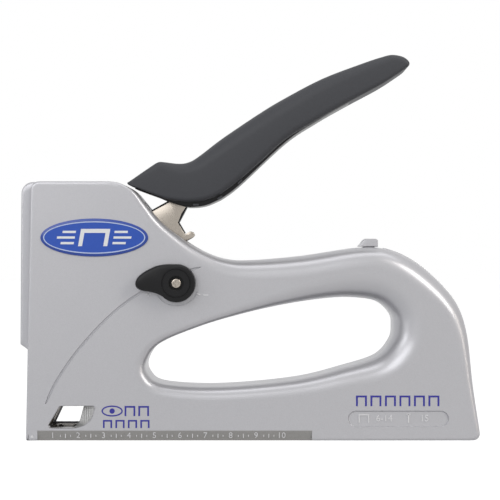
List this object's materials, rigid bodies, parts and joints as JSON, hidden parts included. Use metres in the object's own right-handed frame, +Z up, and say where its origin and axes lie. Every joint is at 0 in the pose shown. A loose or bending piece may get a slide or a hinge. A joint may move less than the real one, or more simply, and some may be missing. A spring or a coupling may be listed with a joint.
{
  "type": "hand staple gun",
  "caption": "Squeeze-handle staple gun: clam-shell housing with a finger hole, sprung striker, power knob, staple window and a magazine that draws out to the rear.",
  "frame": {"origin": "on the plane of the base, midway between the housing's nose and rear edges, on the seam between the shells", "axes": "+X to the rear of the tool, -X to the nose, +Z up, -Y to the side with the knob and the window's recess"},
  "size_m": [0.182, 0.0328, 0.1522],
  "materials": {
    "silver_paint": "fine silver metallic paint, satin",
    "charcoal_grip": "soft-touch charcoal, matte",
    "black_plastic": "black moulded nylon, satin",
    "dark_rubber": "black rubber",
    "nickel_steel": "nickel-plated pressed steel",
    "spring_steel": "oiled spring steel",
    "badge": "royal blue gloss print"
  },
  "bodies": {
    "housing": {"left_shell": "silver_paint", "right_shell": "silver_paint", "front_cover": "silver_paint", "rear_spine": "silver_paint", "label_badge": "badge", "nose_plate": "nickel_steel", "magazine_channel": "nickel_steel", "spring_cap": "black_plastic", "bumper": "dark_rubber", "main_spring": "spring_steel", "lever_pivot_pin": "nickel_steel", "shell_screw_1": "nickel_steel", "shell_screw_2": "nickel_steel", "shell_screw_3": "nickel_steel", "shell_screw_4": "nickel_steel", "shell_screw_5": "nickel_steel"},
    "handle": {"lever_arm": "nickel_steel", "handle_grip": "charcoal_grip", "grip_core": "black_plastic", "grip_rivet_1": "nickel_steel", "grip_rivet_2": "nickel_steel", "lift_roller": "spring_steel", "roller_pin": "nickel_steel"},
    "striker": {"plunger": "spring_steel", "driver_blade": "spring_steel"},
    "knob": {"power_knob": "black_plastic", "knob_screw": "nickel_steel", "power_shaft": "spring_steel"},
    "lock": {"handle_lock": "silver_paint"},
    "magazine": {"magazine_rail": "nickel_steel", "drawer_end": "black_plastic", "pusher_rod": "spring_steel", "pusher_spring": "spring_steel", "latch_spring": "spring_steel"},
    "pusher": {"pusher": "black_plastic"},
    "latch": {"magazine_latch": "dark_rubber"}
  },
  "joints": [
    {"name": "handle_press", "type": "hinge", "parent": "housing", "child": "handle", "pos_m": [-0.044, 0, 0.0805], "axis": [0, 1, 0], "range_deg": [0, 30], "stiffness_Nm_per_rad": 6, "springref_deg": -20.05, "deforming": ["main_spring"]},
    {"name": "plunger_lift", "type": "slide", "parent": "housing", "child": "striker", "axis": [0, 0, 1], "range_m": [0, 0.0172], "deforming": ["main_spring"]},
    {"name": "power_knob_turn", "type": "hinge", "parent": "housing", "child": "knob", "pos_m": [-0.03, 0, 0.062], "axis": [0, -1, 0], "range_deg": [0, 160]},
    {"name": "handle_lock_slide", "type": "slide", "parent": "housing", "child": "lock", "axis": [-1, 0, 0], "range_m": [0, 0.005]},
    {"name": "magazine_slide", "type": "slide", "parent": "housing", "child": "magazine", "axis": [1, 0, 0], "range_m": [0, 0.09]},
    {"name": "pusher_slide", "type": "slide", "parent": "magazine", "child": "pusher", "axis": [1, 0, 0], "range_m": [0, 0.12], "stiffness_N_per_m": 50, "springref_m": -0.06, "deforming": ["pusher_spring"]},
    {"name": "magazine_latch_press", "type": "slide", "parent": "magazine", "child": "latch", "axis": [0, 0, -1], "range_m": [0, 0.002], "stiffness_N_per_m": 600, "springref_m": -0.002, "deforming": ["latch_spring"]}
  ],
  "couplings": [
    {"joint": "plunger_lift", "follows": "handle_press", "m_per_rad": 0.032515}
  ]
}
